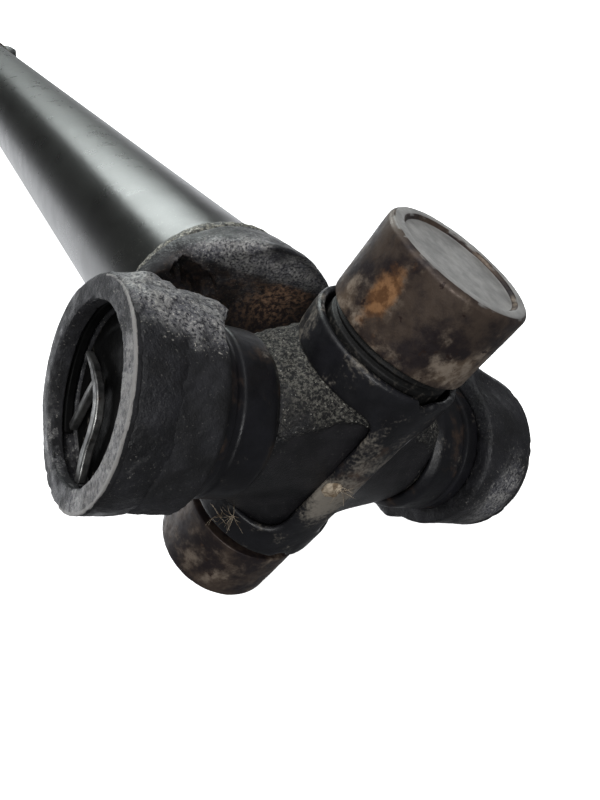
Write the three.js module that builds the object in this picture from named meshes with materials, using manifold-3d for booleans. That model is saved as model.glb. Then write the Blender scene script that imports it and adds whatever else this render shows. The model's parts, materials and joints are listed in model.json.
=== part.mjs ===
// Propeller shaft with a universal joint at each end.
//
// Shaft frame, used by every function below: millimetres, +X along the shaft towards the fixed-end joint, whose
// centre is x = 0; Y is the axis of the yokes' ears. The last lines roll the shaft into the attitude in which it
// lies on flat ground, on one ear and one loose bearing cup of each joint, and set the origin under its middle.

import * as THREE from "three";
import { mergeVertices } from "three/addons/utils/BufferGeometryUtils.js";
import Module from "manifold-3d";

const wasm = await Module();
wasm.setup();

// ---- driving dimensions ----
const GAP = 0.3; // clearance between parts that touch on the real shaft

const JOINT_SPACING = 720; // between the two joint centres, slip joint at mid travel
const CROSS_TILT_DEG = 18; // lean of each cross about its ear axis, as left
const REST_ROLL_DEG = 34.7; // roll at which ear and loose cup touch the ground together

const TUBE_RADIUS = 22.6;
const TUBE_WALL = 2.1;
const TUBE_START = 49; // distance of the tube's end from the fixed joint's centre
const TUBE_END = 530; // distance of its other end

const CUP_RADIUS = 13.5;
const CUP_END = 40.88; // half of the span over two opposite cups
const CUP_LENGTH = 15.25;
const CUP_BORE = 11;
const CUP_FLOOR = 2.6;
const CUP_MOUTH = CUP_END - CUP_LENGTH;

const TRUNNION_RADIUS = 8.1;
const TRUNNION_END = CUP_END - CUP_FLOOR - 2 * GAP;
const ROLLER_COUNT = 16;
const BARREL_RADIUS = 12.3;
const BARREL_END = 18.3;
const WEB_HALF = 11; // half thickness of the cross's body
const WEB_WIDE = 18.3; // half width of the body along the ear arms
const WEB_TALL = 15.6; // half height of the body along the loose arms
const WEB_CHAMFER = 3.9; // cut off each of the body's corners

const SEAL_INNER = TRUNNION_RADIUS + GAP;
const SEAL_START = BARREL_END + GAP;
const GUARD_INNER = CUP_RADIUS + GAP;
const GUARD_OUTER = 14.5;

const EAR_FACE = 44.8; // outer faces of the ears, from the shaft axis
const EAR_INNER = 30.6;
const EAR_RADIUS = 17.6;
const EAR_BORE = CUP_RADIUS + GAP;
const RING_GROOVE_RADIUS = 15.3;
const RING_THICKNESS = 1.4;
const RING_START = CUP_END + GAP;

const HUB_RADIUS = 24.6;
const HUB_BACK = 46.7; // back of the yoke's rim, from the joint centre
const HUB_FRONT = 28; // front of the rim before the crotch is cut
const CROTCH_RADIUS = 39.6;
const NECK_BACK = 4.8; // half height of an ear's neck at the hub
const NECK_FRONT = 17; // half height of the neck at the ear
const THROAT_FLOOR = 38.6; // bottom of the gap between the ears, from the joint centre
const THROAT_CORNER = 13; // rounding between the gap's bottom and an ear

const STRAP_OUTER = 14.6;
const STRAP_INNER = 13.2;
const STRAP_LOW = 16;
const STRAP_HIGH = 22.9;
const STRAP_BAND_HALF = 4.3;

const SPLINE_TEETH = 16;
const SPLINE_ROOT = 14.2;
const SPLINE_TIP = 15.9;
const SPLINE_END = 647; // tip of the stub, from the fixed joint's centre
const SLEEVE_RADIUS = 21.2;
const SLEEVE_MOUTH = 571; // open end of the slip yoke, from the fixed joint's centre
const SLEEVE_NECK = 20.6; // turned down for the dust cap
const PLUG_RADIUS = 17.2;
const PLUG_BACK = 44.6; // inner face of the plug, from its joint's centre
const PLUG_THICKNESS = 2.6;
const CAP_FACE = SLEEVE_MOUTH - 9; // open side of the dust cap, from the fixed joint's centre
const CAP_LENGTH = 21;
const CAP_RADIUS = 24.9;
const SHAFT_HOLE = 17.2;
const GREASE_FITTING = 85; // along the sleeve, from the slip joint's centre
const WEIGHT_INSET = 30; // middle of a balance weight, from its end of the tube
const WEIGHT_TURN_DEG = 60; // round the tube from below

const FINE = 28; // facets round large visible parts
const ROUND = 24; // facets round the joints' visible parts
const COARSE = 16; // facets round hidden parts

// ---- materials ----
const paint = (color, roughness, metalness) => new THREE.MeshStandardMaterial({ color, roughness, metalness });
const BLACK_PAINT = paint(0x1c1e20, 0.38, 0.3);
const FORGED = paint(0x222226, 0.7, 0.4);
const GRITTY = paint(0x2b2a28, 0.9, 0.3);
const RUSTY_STEEL = paint(0x5b4a3e, 0.55, 0.8);
const BRIGHT_STEEL = paint(0x8f9294, 0.35, 1);
const SPRING_STEEL = paint(0x3c3b3a, 0.5, 0.8);
const RUBBER = paint(0x151515, 0.8, 0);
const BLACK_STRAP = paint(0x1f1f24, 0.5, 0.1);
const FELT = paint(0x6b6254, 1, 0);
const BRASS = paint(0x9a8350, 0.4, 1);

// ---- solids ----
function toSolid(geometry) {
  const bare = geometry.index ? geometry.toNonIndexed() : geometry.clone();
  bare.deleteAttribute("normal");
  bare.deleteAttribute("uv");
  const merged = mergeVertices(bare, 1e-4);
  const corners = [...merged.index.array];
  const triVerts = [];
  for (let i = 0; i < corners.length; i += 3) {
    const [a, b, c] = corners.slice(i, i + 3);
    if (a !== b && b !== c && c !== a) triVerts.push(a, b, c);
  }
  return new wasm.Manifold(
    new wasm.Mesh({
      numProp: 3,
      vertProperties: merged.attributes.position.array,
      triVerts: new Uint32Array(triVerts),
    }),
  );
}

function toGeometry(solid) {
  const mesh = solid.getMesh();
  const geometry = new THREE.BufferGeometry();
  geometry.setAttribute("position", new THREE.BufferAttribute(mesh.vertProperties, 3));
  geometry.setIndex(new THREE.BufferAttribute(mesh.triVerts, 1));
  const flat = geometry.toNonIndexed();
  flat.computeVertexNormals();
  return flat;
}

const join = (...geometries) => toGeometry(geometries.map(toSolid).reduce((a, b) => a.add(b)));
const cut = (body, ...tools) => toGeometry(tools.map(toSolid).reduce((a, b) => a.subtract(b), toSolid(body)));
const common = (...geometries) => toGeometry(geometries.map(toSolid).reduce((a, b) => a.intersect(b)));

// A body turned about +Z from a profile of [radius, height] points, listed either way round. A profile that
// doesn't start and end on the axis is closed on itself.
function turned(profile, facets = ROUND) {
  let area = 0;
  profile.forEach(([r, h], i) => {
    const [nextR, nextH] = profile[(i + 1) % profile.length];
    area += r * nextH - nextR * h;
  });
  const points = (area > 0 ? profile : [...profile].reverse()).map(([r, h]) => new THREE.Vector2(r, h));
  if (points[0].x > 0 || points[points.length - 1].x > 0) points.push(points[0].clone());
  return new THREE.LatheGeometry(points, facets).rotateX(Math.PI / 2);
}

const disc = (radius, low, high, facets = ROUND) =>
  turned([[0, low], [radius, low], [radius, high], [0, high]], facets);
const ring = (inner, outer, low, high, facets = ROUND) =>
  turned([[inner, low], [outer, low], [outer, high], [inner, high]], facets);

// A flat outline of [x, y] points, extruded evenly either side of z = 0 or from z = 0 up.
function plate(points, thickness, centred = true) {
  const shape = new THREE.Shape(points.map(([x, y]) => new THREE.Vector2(x, y)));
  const geometry = new THREE.ExtrudeGeometry(shape, { depth: thickness, bevelEnabled: false });
  return centred ? geometry.translate(0, 0, -thickness / 2) : geometry;
}

const box = (x, y, z) => new THREE.BoxGeometry(x, y, z);
const alongX = (geometry) => geometry.rotateY(Math.PI / 2); // +Z to +X
const alongY = (geometry) => geometry.rotateX(-Math.PI / 2); // +Z to +Y

function polar(radius, degrees) {
  const angle = THREE.MathUtils.degToRad(degrees);
  return [radius * Math.cos(angle), radius * Math.sin(angle)];
}

function arc(centreX, centreY, radius, fromDeg, toDeg, steps) {
  return Array.from({ length: steps + 1 }, (_, i) => {
    const [x, y] = polar(radius, fromDeg + ((toDeg - fromDeg) * i) / steps);
    return [centreX + x, centreY + y];
  });
}

// ---- bearing parts, each along +Z with the joint centre at z = 0 ----
function bearingCup(facets) {
  const rim = 11.2;
  const dish = 0.8;
  return turned(
    [
      [0, CUP_END - CUP_FLOOR],
      [CUP_BORE, CUP_END - CUP_FLOOR],
      [CUP_BORE, CUP_MOUTH],
      [CUP_RADIUS, CUP_MOUTH],
      [CUP_RADIUS, CUP_END - dish],
      [CUP_RADIUS - 0.7, CUP_END],
      [rim, CUP_END],
      [rim - 0.6, CUP_END - dish],
      [0, CUP_END - dish],
    ],
    facets,
  );
}

// The needle rollers stand side by side all round the cup, so they are one scalloped ring.
function needleRollers() {
  const outer = CUP_BORE - GAP;
  const low = CUP_MOUTH + 1.2;
  const high = CUP_END - CUP_FLOOR - 1;
  const step = 360 / ROLLER_COUNT;
  const outline = [];
  for (let i = 0; i < ROLLER_COUNT; i += 1) {
    outline.push(polar(outer, i * step), polar(outer - 0.5, (i + 0.5) * step));
  }
  const rollers = plate(outline, high - low, false).translate(0, 0, low);
  return cut(rollers, disc(TRUNNION_RADIUS + GAP, low - 1, high + 1, COARSE));
}

const lipSeal = () =>
  turned(
    [
      [SEAL_INNER, SEAL_START],
      [BARREL_RADIUS, SEAL_START],
      [BARREL_RADIUS, CUP_MOUTH - 1],
      [BARREL_RADIUS - 0.8, CUP_MOUTH - GAP],
      [SEAL_INNER, CUP_MOUTH - GAP],
    ],
    COARSE,
  );

// Stamped guard over the mouth of a cup that sits in an ear. It is carried on the lip seal's back edge.
const earGuard = () =>
  turned([
    [BARREL_RADIUS + GAP, SEAL_START],
    [GUARD_OUTER - 1.2, SEAL_START],
    [GUARD_OUTER, SEAL_START + 1.6],
    [GUARD_OUTER, EAR_INNER - GAP],
    [GUARD_INNER, EAR_INNER - GAP],
    [GUARD_INNER, SEAL_START + 1.9],
    [BARREL_RADIUS + GAP, SEAL_START + 1.2],
  ]);

// C-shaped ring that sits in the groove of an ear outside the cup. One end has sprung out of the groove and lies
// bent across the cup, the other is hooked behind it.
function snapRing() {
  const outer = RING_GROOVE_RADIUS - GAP;
  const inner = 12.1;
  const hoop = plate([...arc(0, 0, outer, -72, 236, 18), ...arc(0, 0, inner, 236, -72, 18)], RING_THICKNESS, false);
  const longTail = plate(
    [[2.6, -13.6], [4.8, -12.9], [4.4, -8.5], [3.6, -3.6], [1.4, -0.2], [-2.6, 2.4], [-7.8, 3.6],
      [-7.2, 1.9], [-3.4, 0.4], [-0.2, -1.8], [1.4, -4.6], [2.2, -8.6]],
    RING_THICKNESS,
    false,
  );
  const shortTail = plate(
    [[-8.9, -10], [-6.9, -10.8], [-5.7, -6], [-3.9, -0.6], [-3.2, 1], [-4.9, 1.4], [-7.2, -4.4]],
    RING_THICKNESS,
    false,
  );
  return join(hoop, longTail, shortTail).translate(0, 0, RING_START);
}

// ---- cross: ear arms along Y, loose arms along Z, thin way along X ----
function cross() {
  const barrel = disc(BARREL_RADIUS, -BARREL_END, BARREL_END, ROUND);
  const trunnions = disc(TRUNNION_RADIUS, -TRUNNION_END, TRUNNION_END, COARSE);
  const quarter = [[WEB_TALL, WEB_WIDE - WEB_CHAMFER], [WEB_TALL - WEB_CHAMFER, WEB_WIDE]];
  const half = [...quarter, ...quarter.map(([z, y]) => [-z, y]).reverse()];
  const outline = [...half, ...half.map(([z, y]) => [-z, -y])];
  const web = alongX(plate(outline, 2 * WEB_HALF));
  return join(barrel.clone(), trunnions.clone(), alongY(barrel), alongY(trunnions), web);
}

// Moulded strap that keeps the loose cups on: a collar round the foot of each loose arm, and one band that joins
// them across the cross's outer face.
function retainingStrap() {
  const shell = ring(STRAP_INNER, STRAP_OUTER, -STRAP_HIGH, STRAP_HIGH);
  const back = box(40, 60, 2 * STRAP_LOW).translate(-18, 0, 0);
  const corner = 4;
  const edge = STRAP_BAND_HALF;
  const outline = [
    ...arc(edge + corner, STRAP_LOW - corner, corner, 180, 90, 5),
    [30, STRAP_LOW],
    [30, -STRAP_LOW],
    ...arc(edge + corner, -STRAP_LOW + corner, corner, 270, 180, 5),
  ];
  const window = alongX(plate(outline, 40).rotateZ(Math.PI / 2));
  const opposite = window.clone().rotateX(Math.PI);
  return cut(shell, back, window, opposite);
}

// ---- yokes: joint centre at the origin, hub towards -X ----
// A yoke is the round hub, two shoulders that widen from it, two narrower necks that carry the ears, and the
// ears' bosses, with the gap between the ears cut out.
function yokeBody() {
  const hub = turned(
    [
      [0, -HUB_BACK],
      [HUB_RADIUS - 0.8, -HUB_BACK],
      [HUB_RADIUS, -HUB_BACK + 1],
      [HUB_RADIUS, -HUB_FRONT],
      [0, -HUB_FRONT],
    ],
    FINE,
  );
  const shoulderFlare = turned(
    [[0, -45], [HUB_RADIUS, -45], [26, -40], [31, -30], [40.5, -10], [40.5, 0], [0, 0]],
    FINE,
  );
  const neckFlare = turned(
    [[0, -45], [HUB_RADIUS, -45], [28, -42], [34.5, -37.5], [39.5, -31], [43, -22], [44, -12], [44, 0], [0, 0]],
    FINE,
  );
  const side = EAR_RADIUS - GAP;
  const shoulderSide = [[-HUB_BACK, -side], [0, -side], [0, side], [-HUB_BACK, side]];
  const neckSide = [
    [-HUB_BACK, -NECK_BACK],
    [-4, -NECK_FRONT],
    [0, -NECK_FRONT],
    [0, NECK_FRONT],
    [-4, NECK_FRONT],
    [-HUB_BACK, NECK_BACK],
  ];
  const slab = (outline) => plate(outline, 4 * EAR_FACE).rotateX(Math.PI / 2);
  const shoulders = common(alongX(shoulderFlare), slab(shoulderSide));
  const necks = common(alongX(neckFlare), slab(neckSide));
  const bosses = alongY(disc(EAR_RADIUS, -EAR_FACE, EAR_FACE));

  const cornerX = THROAT_CORNER - THROAT_FLOOR;
  const cornerY = EAR_INNER - THROAT_CORNER;
  const throat = [
    ...arc(cornerX, cornerY, THROAT_CORNER, 90, 180, 4),
    ...arc(cornerX, -cornerY, THROAT_CORNER, 180, 270, 4),
    [2 * EAR_RADIUS, -EAR_INNER],
    [2 * EAR_RADIUS, EAR_INNER],
  ];
  const sweep = alongY(disc(CROTCH_RADIUS, -EAR_INNER - 1, EAR_INNER + 1, FINE));
  const gap = common(plate(throat, 4 * EAR_RADIUS), sweep);

  const bores = alongY(disc(EAR_BORE, -EAR_FACE - 1, EAR_FACE + 1));
  const body = cut(join(alongX(hub), shoulders, necks, bosses), gap, bores);
  const grooveStart = RING_START - GAP;
  const groove = alongY(disc(RING_GROOVE_RADIUS, grooveStart, grooveStart + RING_THICKNESS + 2 * GAP));
  return cut(body, groove, groove.clone().rotateX(Math.PI));
}

// The tube yoke's spigot is pressed into the tube's end. It is hollow.
function tubeYoke() {
  const spigotRadius = TUBE_RADIUS - TUBE_WALL - GAP;
  const spigotEnd = -TUBE_START - 13;
  const spigot = turned([
    [0, 1 - HUB_BACK],
    [TUBE_RADIUS - GAP, 1 - HUB_BACK],
    [TUBE_RADIUS - GAP, GAP - TUBE_START],
    [spigotRadius, GAP - TUBE_START],
    [spigotRadius, spigotEnd],
    [spigotRadius - 5, spigotEnd],
    [spigotRadius - 7, spigotEnd + 10],
    [0, spigotEnd + 10],
  ]);
  return join(yokeBody(), alongX(spigot));
}

function splineOutline(extra) {
  const pitch = 360 / SPLINE_TEETH;
  const halfRoot = 3.4 + 4.2 * extra; // degrees
  const halfTip = 2.4 + 3.6 * extra;
  const outline = [];
  for (let i = 0; i < SPLINE_TEETH; i += 1) {
    const middle = i * pitch;
    outline.push(polar(SPLINE_ROOT + extra, middle - halfRoot), polar(SPLINE_TIP + extra, middle - halfTip));
    outline.push(polar(SPLINE_TIP + extra, middle + halfTip), polar(SPLINE_ROOT + extra, middle + halfRoot));
  }
  return outline;
}

// Slip yoke: the sleeve runs from the rim towards the fixed joint, with a splined bore closed by a plug.
function slipYoke() {
  const mouth = SLEEVE_MOUTH - JOINT_SPACING;
  const sleeve = turned(
    [
      [0, 1 - HUB_BACK],
      [HUB_RADIUS - 1.6, 1 - HUB_BACK],
      [SLEEVE_RADIUS, -HUB_BACK - 5],
      [SLEEVE_RADIUS, mouth + 14],
      [SLEEVE_NECK, mouth + 13],
      [SLEEVE_NECK, mouth],
      [0, mouth],
    ],
    FINE,
  );
  const boreLength = -mouth - HUB_FRONT;
  const splinedBore = plate(splineOutline(0.35), boreLength, false).translate(0, 0, mouth - 5);
  const plugSeat = disc(PLUG_RADIUS + GAP, -PLUG_BACK - GAP, -HUB_FRONT);
  return cut(join(yokeBody(), alongX(sleeve)), alongX(splinedBore), alongX(plugSeat));
}

// ---- shaft pieces along +Z, with z = -(distance from the fixed joint) ----
const shaftTube = () =>
  ring(TUBE_RADIUS - TUBE_WALL, TUBE_RADIUS, -TUBE_END, -TUBE_START, FINE);

// Round weld bead over the seam at z = 0, resting on the tube and the shoulder beside it.
const weldBead = () =>
  turned(
    [
      [TUBE_RADIUS + GAP, -2.2],
      [TUBE_RADIUS + 1.5, -0.4],
      [TUBE_RADIUS + 1.1, 1.6],
      [TUBE_RADIUS + GAP, 1.8],
    ],
    FINE,
  );

function splinedStub() {
  const shoulder = -TUBE_END - GAP;
  const spigotRadius = TUBE_RADIUS - TUBE_WALL - GAP;
  const neck = 16.4;
  const core = turned([
    [0, 16 - TUBE_END],
    [spigotRadius, 16 - TUBE_END],
    [spigotRadius, shoulder],
    [TUBE_RADIUS - GAP, shoulder],
    [TUBE_RADIUS - GAP, shoulder - 2],
    [TUBE_RADIUS + 0.9, shoulder - 2],
    [TUBE_RADIUS + 0.9, shoulder - 6],
    [neck, shoulder - 14],
    [neck, shoulder - 23],
    [SPLINE_ROOT, shoulder - 25],
    [SPLINE_ROOT, 1 - SPLINE_END],
    [SPLINE_ROOT - 1, -SPLINE_END],
    [0, -SPLINE_END],
  ]);
  const splineLength = SPLINE_END - TUBE_END - 24;
  const splines = plate(splineOutline(0), splineLength, false).translate(0, 0, 1 - SPLINE_END);
  return join(core, splines);
}

// Twelve-sided cap screwed over the sleeve's mouth, with a felt seal inside.
function dustCap() {
  const sides = Array.from({ length: 12 }, (_, i) => polar(CAP_RADIUS, i * 30));
  const body = plate(sides, CAP_LENGTH, false).translate(0, 0, -CAP_FACE - CAP_LENGTH);
  const sleeveHole = disc(SLEEVE_NECK + GAP, -CAP_FACE - 2 * CAP_LENGTH, -CAP_FACE - 7.5);
  const feltSeat = disc(SLEEVE_NECK, -CAP_FACE - 8, -CAP_FACE - 2);
  const shaftHole = disc(SHAFT_HOLE, -CAP_FACE - 10, 10 - CAP_FACE);
  return cut(body, sleeveHole, feltSeat, shaftHole);
}

const feltSeal = () => ring(SHAFT_HOLE - 0.4, SLEEVE_NECK - 0.4, -CAP_FACE - 7.4, -CAP_FACE - 2.4, COARSE);

const sleevePlug = () => disc(PLUG_RADIUS, -PLUG_BACK, PLUG_THICKNESS - PLUG_BACK);

const greaseFitting = () =>
  turned([[0, 0], [3.6, 0], [3.6, 3], [2.3, 3.6], [2.3, 5.4], [3.1, 6.4], [3.1, 7.4], [1.9, 9], [0, 9]], 12);

// Curved steel plate welded on the tube to balance it.
function balanceWeight() {
  const length = 26;
  const width = 18;
  const wall = ring(TUBE_RADIUS + GAP, TUBE_RADIUS + 2.6, -length / 2, length / 2, 2 * ROUND);
  return common(wall, box(TUBE_RADIUS, width, 2 * length).translate(TUBE_RADIUS, 0, 0));
}

// ---- assembly ----
const shaft = new THREE.Group();

function add(parent, name, geometry, material, position = [0, 0, 0]) {
  const mesh = new THREE.Mesh(geometry, material);
  mesh.name = name;
  mesh.position.set(...position);
  parent.add(mesh);
  return mesh;
}

// A group whose +Z points along one of the cross's four arms.
function armFrame(parent, direction) {
  const frame = new THREE.Group();
  frame.quaternion.setFromUnitVectors(new THREE.Vector3(0, 0, 1), new THREE.Vector3(...direction));
  parent.add(frame);
  return frame;
}

// One universal joint about its own centre: `end` names it, `lean` is the cross's tilt in degrees.
function universalJoint(end, centreX, lean) {
  const joint = new THREE.Group();
  joint.position.x = centreX;
  shaft.add(joint);
  for (const [side, y] of [["left", -1], ["right", 1]]) {
    const arm = armFrame(joint, [0, y, 0]);
    add(arm, `${end}_ear_cup_${side}`, bearingCup(COARSE), RUSTY_STEEL);
    add(arm, `${end}_ear_rollers_${side}`, needleRollers(), BRIGHT_STEEL);
    const clip = add(arm, `${end}_snap_ring_${side}`, snapRing(), SPRING_STEEL);
    clip.rotation.z = y < 0 ? 0 : Math.PI;
  }
  const tilted = new THREE.Group();
  tilted.rotation.y = THREE.MathUtils.degToRad(lean);
  joint.add(tilted);
  add(tilted, `${end}_cross`, cross(), GRITTY);
  add(tilted, `${end}_retaining_strap`, retainingStrap(), BLACK_STRAP).rotation.z = end === "slip" ? Math.PI : 0;
  for (const [side, y] of [["left", -1], ["right", 1]]) {
    const arm = armFrame(tilted, [0, y, 0]);
    add(arm, `${end}_ear_seal_${side}`, lipSeal(), RUBBER);
    add(arm, `${end}_ear_guard_${side}`, earGuard(), FORGED);
  }
  for (const [side, z] of [["upper", 1], ["lower", -1]]) {
    const arm = new THREE.Group();
    arm.rotation.x = z < 0 ? Math.PI : 0;
    tilted.add(arm);
    add(arm, `${end}_free_seal_${side}`, lipSeal(), RUBBER);
    add(arm, `${end}_free_cup_${side}`, bearingCup(ROUND), RUSTY_STEEL);
    add(arm, `${end}_free_rollers_${side}`, needleRollers(), BRIGHT_STEEL);
  }
  return joint;
}

const fixedJoint = universalJoint("fixed", 0, CROSS_TILT_DEG);
add(fixedJoint, "tube_yoke", tubeYoke(), FORGED);

const slipJoint = universalJoint("slip", -JOINT_SPACING, -CROSS_TILT_DEG);
add(slipJoint, "slip_yoke", slipYoke().rotateZ(Math.PI), FORGED);
add(slipJoint, "sleeve_plug", alongX(sleevePlug()).rotateZ(Math.PI), BRIGHT_STEEL);
add(slipJoint, "grease_fitting", greaseFitting(), BRASS, [GREASE_FITTING, 0, SLEEVE_RADIUS + GAP]);

add(shaft, "shaft_tube", alongX(shaftTube()), BLACK_PAINT);
add(shaft, "weld_bead_fixed", alongX(weldBead()), GRITTY, [-TUBE_START, 0, 0]);
add(shaft, "weld_bead_slip", alongX(weldBead()).rotateZ(Math.PI), GRITTY, [-TUBE_END, 0, 0]);
add(shaft, "splined_stub", alongX(splinedStub()), BRIGHT_STEEL);
add(shaft, "dust_cap", alongX(dustCap()), BLACK_PAINT);
add(shaft, "felt_seal", alongX(feltSeal()), FELT);
for (const [end, x] of [["fixed", -TUBE_START - WEIGHT_INSET], ["slip", WEIGHT_INSET - TUBE_END]]) {
  const weight = add(shaft, `balance_weight_${end}`, alongX(balanceWeight()), BLACK_PAINT, [x, 0, 0]);
  weight.rotation.x = THREE.MathUtils.degToRad(WEIGHT_TURN_DEG);
}

// Roll to the attitude in which it lies on the ground, and set the origin under the middle of its box.
shaft.rotation.x = THREE.MathUtils.degToRad(-REST_ROLL_DEG);
const extent = new THREE.Box3().setFromObject(shaft, true);
const middle = extent.getCenter(new THREE.Vector3());
shaft.position.set(-middle.x, -middle.y, -extent.min.z);

const propellerShaft = new THREE.Group();
propellerShaft.add(shaft);
export default propellerShaft;
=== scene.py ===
import json
import math

import bmesh
import bpy
import numpy as np
from mathutils import Matrix, Vector


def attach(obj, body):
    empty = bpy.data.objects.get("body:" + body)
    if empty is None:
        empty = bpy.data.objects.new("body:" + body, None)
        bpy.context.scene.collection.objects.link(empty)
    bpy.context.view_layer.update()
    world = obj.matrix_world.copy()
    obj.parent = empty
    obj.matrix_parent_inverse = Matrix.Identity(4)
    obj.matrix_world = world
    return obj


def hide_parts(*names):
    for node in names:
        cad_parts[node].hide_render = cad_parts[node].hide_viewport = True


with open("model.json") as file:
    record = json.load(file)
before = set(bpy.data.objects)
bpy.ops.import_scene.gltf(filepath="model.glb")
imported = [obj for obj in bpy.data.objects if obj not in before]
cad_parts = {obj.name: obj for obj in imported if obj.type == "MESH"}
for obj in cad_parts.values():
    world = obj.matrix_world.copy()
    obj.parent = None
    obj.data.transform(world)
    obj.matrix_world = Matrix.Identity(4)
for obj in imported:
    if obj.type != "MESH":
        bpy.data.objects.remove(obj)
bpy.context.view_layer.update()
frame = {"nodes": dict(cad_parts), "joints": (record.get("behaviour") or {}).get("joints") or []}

# Every shape below is in millimetres, in the frame of its own joint: +X along the shaft and Y along the
# ears' axis. place() turns it into the row frame, in metres.
MM = 0.001

# ---- sizes, as in the CAD ----
TUBE_RADIUS = 22.6
TUBE_WALL = 2.1
TUBE_START = 49.0
TUBE_END = 530.0
JOINT_SPACING = 720.0

CUP_RADIUS = 13.5
CUP_END = 40.88
CUP_MOUTH = 25.63
CUP_RIM = 11.2
CUP_BORE = 11.0
CUP_FLOOR = 2.6
CUP_CHAMFER = 0.7
TRUNNION_RADIUS = 8.1
TRUNNION_END = 37.6
BARREL_RADIUS = 12.3
BARREL_END = 18.3
SEAL_START = 18.6
GUARD_RADIUS = 14.5

EAR_FACE = 44.8
EAR_INNER = 30.6
EAR_RADIUS = 17.6
EAR_BORE = 13.85
RING_GROOVE_RADIUS = 15.3
RING_START = 41.2
RING_THICKNESS = 1.4
TAIL_RISE = 0.25
RIM_DEPTH = 0.4
HUB_RADIUS = 24.6
HUB_BACK = 46.7
HUB_FRONT = 28.0
CROTCH_RADIUS = 39.6
THROAT_FLOOR = 38.6
THROAT_CORNER = 13.0
NEAR_THROAT_CORNER = 18.0

STRAP_OUTER = 14.6
STRAP_INNER = 13.2
STRAP_LOW = 16.0
STRAP_HIGH = 22.9
STRAP_BAND_HALF = 4.3

SPLINE_TEETH = 16
SPLINE_ROOT = 14.2
SPLINE_TIP = 15.9
SPLINE_END = 647.0
SLEEVE_RADIUS = 21.2
SLEEVE_NECK = 20.6
SLEEVE_MOUTH = 571.0
CAP_FACE = 562.0
CAP_LENGTH = 21.0
CAP_RADIUS = 24.9
SHAFT_HOLE = 17.2
WEIGHT_INSET = 30.0
WEIGHT_TURN_DEG = -120
FITTING_AT = 85

# ---- camera, measured from the joint nearest to it, in that joint's frame ----
CAMERA_AT = (80.76, -75.91, 41.87)
CAMERA_RIGHT = (0.4788, 0.7770, 0.4086)
CAMERA_DOWN = (0.5065, 0.1357, -0.8515)
CAMERA_LENS = 28.05

# ---- brightness of the room, 1 being white ----
ROOM_GLOW = 0.13
SKY_GLOW = 0.3
FLOOR_GLOW = 1.35

# ---- lamps: direction and distance in metres from the near joint, size in metres, watts, colour ----
LAMPS = {
    "window": ((-0.87, 0.19, 0.49), 2.2, (1.1, 0.8), 19, (0.93, 1.0, 0.98)),
    "overhead": ((0.1, -0.2, 1.0), 1.6, (1.2, 1.2), 10, (1, 1, 1)),
    "fill": ((0.8, -0.35, 0.42), 1.2, (0.5, 0.5), 5.5, (1, 1, 1)),
}


# ---- frames ----
joints = {joint["name"]: joint for joint in frame["joints"]}


def axes_matrix(x, y, z, origin):
    """Matrix from millimetres along three axes to the row frame."""
    columns = [Vector(axis) * MM for axis in (x, y, z)]
    matrix = Matrix.Identity(4)
    for i, column in enumerate(columns):
        matrix.col[i] = (*column, 0)
    matrix.col[3] = (*origin, 1)
    return matrix


def shaft_frame(end):
    """X along the shaft, Y along the ears' axis, from the centre of one end's joint."""
    swing = joints[f"{end}_cross_swing"]
    x = Vector((1, 0, 0))
    y = Vector(swing["axis"]).normalized()
    return axes_matrix(x, y, x.cross(y), swing["pos_m"])


def cross_frame(end):
    """Z along the cross's loose arms, Y along its ear arms."""
    y = Vector(joints[f"{end}_cross_swing"]["axis"]).normalized()
    z = Vector(joints[f"{end}_free_cup_upper_spin"]["axis"]).normalized()
    return axes_matrix(y.cross(z), y, z, joints[f"{end}_cross_swing"]["pos_m"])


def arm_frame(base, direction):
    """Frame whose Z points along one arm of the cross."""
    turn = Vector((0, 0, 1)).rotation_difference(Vector(direction))
    return base @ turn.to_matrix().to_4x4()


HALF_TURN = Matrix.Rotation(math.pi, 4, "Z")
ALONG_X = Matrix.Rotation(math.pi / 2, 4, "Y")


# ---- noise ----
def lattice(ix, iy, iz, seed):
    h = ix * 374761393 + iy * 668265263 + iz * 1440662683 + seed * 974634777
    h = (h ^ (h >> 13)) * 1274126177 & 0xFFFFFFFF
    return ((h ^ (h >> 16)) & 0xFFFF) / 32767.5 - 1


def noise(points, size, seed):
    """Smooth noise from -1 to 1, with lumps about `size` millimetres across."""
    scaled = points / size
    base = np.floor(scaled)
    part = scaled - base
    part = part * part * (3 - 2 * part)
    base = base.astype(np.int64)
    total = np.zeros(len(points))
    for corner in np.ndindex(2, 2, 2):
        weight = np.ones(len(points))
        for axis, step in enumerate(corner):
            weight *= part[:, axis] if step else 1 - part[:, axis]
        total += weight * lattice(*(base[:, axis] + corner[axis] for axis in range(3)), seed)
    return total


def grain(points, size, seed, octaves=3):
    """Noise with finer noise on top of it, from about -1 to 1."""
    levels = [noise(points, size / 2.1**i, seed + i) * 0.55**i for i in range(octaves)]
    return sum(levels) * 1.3 / sum(0.55**i for i in range(octaves))


def near(points, centre, size):
    """1 at a place, falling to 0 about `size` millimetres from it. Size is one number, or one per axis."""
    return np.exp(-2 * (((points - np.array(centre)) / np.array(size)) ** 2).sum(1))


def ramp(value, low, high):
    part = np.clip((value - low) / (high - low), 0, 1)
    return part * part * (3 - 2 * part)


# ---- solids as fields: negative inside ----
def blend_union(a, b, k):
    h = np.maximum(k - np.abs(a - b), 0) / k
    return np.minimum(a, b) - h * h * k / 4


def blend_common(a, b, k):
    return -blend_union(-a, -b, k)


def blend_cut(a, b, k):
    return -blend_union(-a, b, k)


def cylinder(radial, along, radius, low, high, edge):
    return blend_common(radial - radius, np.abs(along - (low + high) / 2) - (high - low) / 2, edge)


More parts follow.
